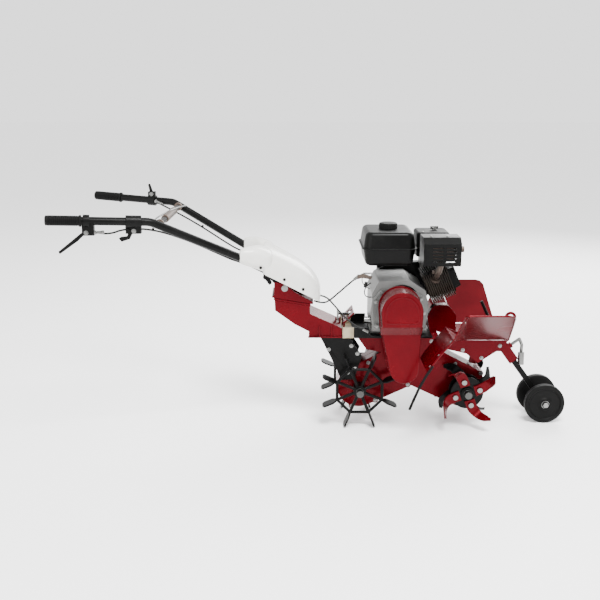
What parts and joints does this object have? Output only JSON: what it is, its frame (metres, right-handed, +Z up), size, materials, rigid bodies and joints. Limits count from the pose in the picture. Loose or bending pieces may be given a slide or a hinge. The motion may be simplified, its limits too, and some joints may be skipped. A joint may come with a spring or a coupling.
{
  "type": "mini cultivator",
  "caption": "Walk-behind mini cultivator: petrol engine on a two-legged gearbox, lugged rear wheels, front tine rotor with fender, depth wheels and swivelling handlebars.",
  "frame": {"origin": "centre of the bounding box at ground level", "axes": "+X forwards, away from the operator; +Y to the side away from the belt cover; +Z up"},
  "size_m": [1.5778, 0.629, 0.747],
  "materials": {
    "red_paint": "gloss",
    "black_paint": "satin",
    "black_plastic": "matte",
    "cast_aluminium": "cast",
    "steel": "satin",
    "zinc": "zinc plated",
    "cast_iron": "machined",
    "rubber": "matte",
    "dark_aluminium": "dull cast",
    "exhaust_steel": "dull",
    "galvanised": "yellow passivated",
    "wheel_rubber": "matte",
    "grip_rubber": "matte",
    "white_plastic": "semi-gloss",
    "cable_sheath": "satin"
  },
  "bodies": {
    "chassis": {"gearbox_case_near": "red_paint", "gearbox_case_far": "red_paint", "gearbox_bearings": "steel", "drive_chains": "steel", "belt_cover": "red_paint", "drive_belt": "rubber", "belt_back_plate": "red_paint", "crankcase": "cast_aluminium", "crankcase_cover": "cast_aluminium", "cylinder": "dark_aluminium", "valve_cover": "black_paint", "fuel_tank": "black_paint", "muffler": "exhaust_steel", "muffler_guard": "black_paint", "air_cleaner": "black_plastic", "carburettor": "cast_aluminium", "fan_shroud": "black_paint", "recoil_starter": "black_paint", "engine_bed": "galvanised", "handle_arm": "red_paint", "guard_plates": "black_paint", "gear_gate": "red_paint", "fender_arch": "red_paint", "fender_wings": "red_paint", "fender_bars": "black_paint", "leg_socket": "red_paint", "lower_cables": "cable_sheath", "chassis_bolts": "zinc"},
    "tine_rotor": {"rotor_axle": "steel", "rotor_hubs": "black_paint", "tines_inner": "black_paint", "tines_outer": "red_paint", "tine_bolts": "zinc"},
    "countershaft": {"countershaft": "steel"},
    "input": {"input_shaft": "steel", "driven_pulley": "cast_iron"},
    "rear_wheels": {"rear_axle": "steel", "lug_wheels": "black_paint"},
    "crank": {"crankshaft": "steel", "engine_pulley": "cast_iron"},
    "tension_arm": {"tension_arm": "zinc"},
    "clutch_lever": {"clutch_lever": "black_paint"},
    "reverse_lever": {"reverse_lever": "black_paint"},
    "throttle_lever": {"throttle_lever": "black_plastic"},
    "lock_lever": {"lock_lever": "black_paint"},
    "choke_lever": {"choke_lever": "black_plastic"},
    "shift_lever": {"shift_lever": "zinc"},
    "fuel_cap": {"fuel_cap": "black_plastic"},
    "starter_grip": {"starter_grip": "black_plastic"},
    "handle_bracket": {"swivel_bracket": "red_paint", "tilt_bolt": "zinc"},
    "handlebar": {"handle_tubes": "black_paint", "grips": "grip_rubber", "console_cover": "white_plastic", "lever_brackets": "black_paint", "handle_cables": "cable_sheath"},
    "depth_leg": {"depth_leg": "black_paint"},
    "clamp_crank": {"clamp_crank": "zinc"},
    "support_wheel_near": {"support_wheel_near": "wheel_rubber"},
    "support_wheel_far": {"support_wheel_far": "wheel_rubber"}
  },
  "joints": [
    {"name": "rotor_spin", "type": "hinge", "parent": "chassis", "child": "tine_rotor", "pos_m": [0.46, 0, 0.12], "axis": [0, 1, 0], "continuous": true},
    {"name": "countershaft_spin", "type": "hinge", "parent": "chassis", "child": "countershaft", "pos_m": [0.289, 0, 0.205], "axis": [0, 1, 0], "continuous": true},
    {"name": "input_spin", "type": "hinge", "parent": "chassis", "child": "input", "pos_m": [0.25023, 0, 0.22784], "axis": [0, 1, 0], "continuous": true},
    {"name": "rear_wheel_spin", "type": "hinge", "parent": "chassis", "child": "rear_wheels", "pos_m": [0.119, 0, 0.12], "axis": [0, 1, 0], "continuous": true},
    {"name": "crank_spin", "type": "hinge", "parent": "chassis", "child": "crank", "pos_m": [0.244, 0, 0.411], "axis": [0, 1, 0], "continuous": true},
    {"name": "tension_arm_hinge", "type": "hinge", "parent": "chassis", "child": "tension_arm", "pos_m": [0.21111, -0.12, 0.272], "axis": [0, 1, 0], "range_deg": [-1, 5]},
    {"name": "choke_hinge", "type": "hinge", "parent": "chassis", "child": "choke_lever", "pos_m": [0.326, 0.09, 0.532], "axis": [0, 1, 0], "range_deg": [-35, 0]},
    {"name": "shift_hinge", "type": "hinge", "parent": "chassis", "child": "shift_lever", "pos_m": [0.05, 0, 0.337], "axis": [1, 0, 0], "range_deg": [-25, 25]},
    {"name": "fuel_cap_turn", "type": "hinge", "parent": "chassis", "child": "fuel_cap", "pos_m": [0.206, 0, 0.64], "axis": [0, 0, 1], "range_deg": [0, 90]},
    {"name": "starter_pull", "type": "slide", "parent": "chassis", "child": "starter_grip", "axis": [0, 0, 1], "range_m": [0, 0.5], "stiffness_N_per_m": 25},
    {"name": "handle_swivel", "type": "hinge", "parent": "chassis", "child": "handle_bracket", "pos_m": [-0.096, 0, 0.41], "axis": [0.1668, 0, 0.986], "range_deg": [-30, 30], "deforming": ["lower_cables"]},
    {"name": "handle_tilt", "type": "hinge", "parent": "handle_bracket", "child": "handlebar", "pos_m": [-0.12, 0, 0.452], "axis": [0, 1, 0], "range_deg": [-12, 6], "deforming": ["lower_cables"]},
    {"name": "clutch_hinge", "type": "hinge", "parent": "handlebar", "child": "clutch_lever", "pos_m": [-0.67566, -0.27208, 0.66318], "axis": [0, 1, 0], "range_deg": [0, 30], "stiffness_Nm_per_rad": 2, "springref_deg": -11.46},
    {"name": "reverse_hinge", "type": "hinge", "parent": "handlebar", "child": "reverse_lever", "pos_m": [-0.54696, -0.23922, 0.66334], "axis": [0, 1, 0], "range_deg": [0, 16], "stiffness_Nm_per_rad": 1.5, "springref_deg": -11.46},
    {"name": "throttle_hinge", "type": "hinge", "parent": "handlebar", "child": "throttle_lever", "pos_m": [-0.57793, 0.24713, 0.71298], "axis": [0, 1, 0], "range_deg": [-40, 40]},
    {"name": "lock_hinge", "type": "hinge", "parent": "handlebar", "child": "lock_lever", "pos_m": [-0.182, 0, 0.478], "axis": [0, 1, 0], "range_deg": [0, 40]},
    {"name": "depth_slide", "type": "slide", "parent": "chassis", "child": "depth_leg", "axis": [0.5929, 0, -0.8053], "range_m": [-0.03, 0.03]},
    {"name": "clamp_turn", "type": "hinge", "parent": "chassis", "child": "clamp_crank", "pos_m": [0.5983, 0, 0.23573], "axis": [0.8053, 0, 0.5929], "range_deg": [-80, 0]},
    {"name": "support_near_spin", "type": "hinge", "parent": "depth_leg", "child": "support_wheel_near", "pos_m": [0.724, -0.05, 0.065], "axis": [0, 1, 0], "continuous": true},
    {"name": "support_far_spin", "type": "hinge", "parent": "depth_leg", "child": "support_wheel_far", "pos_m": [0.724, 0.05, 0.065], "axis": [0, 1, 0], "continuous": true}
  ],
  "couplings": [
    {"joint": "countershaft_spin", "follows": "rotor_spin", "ratio": 1.5},
    {"joint": "input_spin", "follows": "rotor_spin", "ratio": -3},
    {"joint": "rear_wheel_spin", "follows": "rotor_spin", "ratio": 0.48},
    {"joint": "tension_arm_hinge", "follows": "clutch_hinge", "ratio": 0.1}
  ]
}
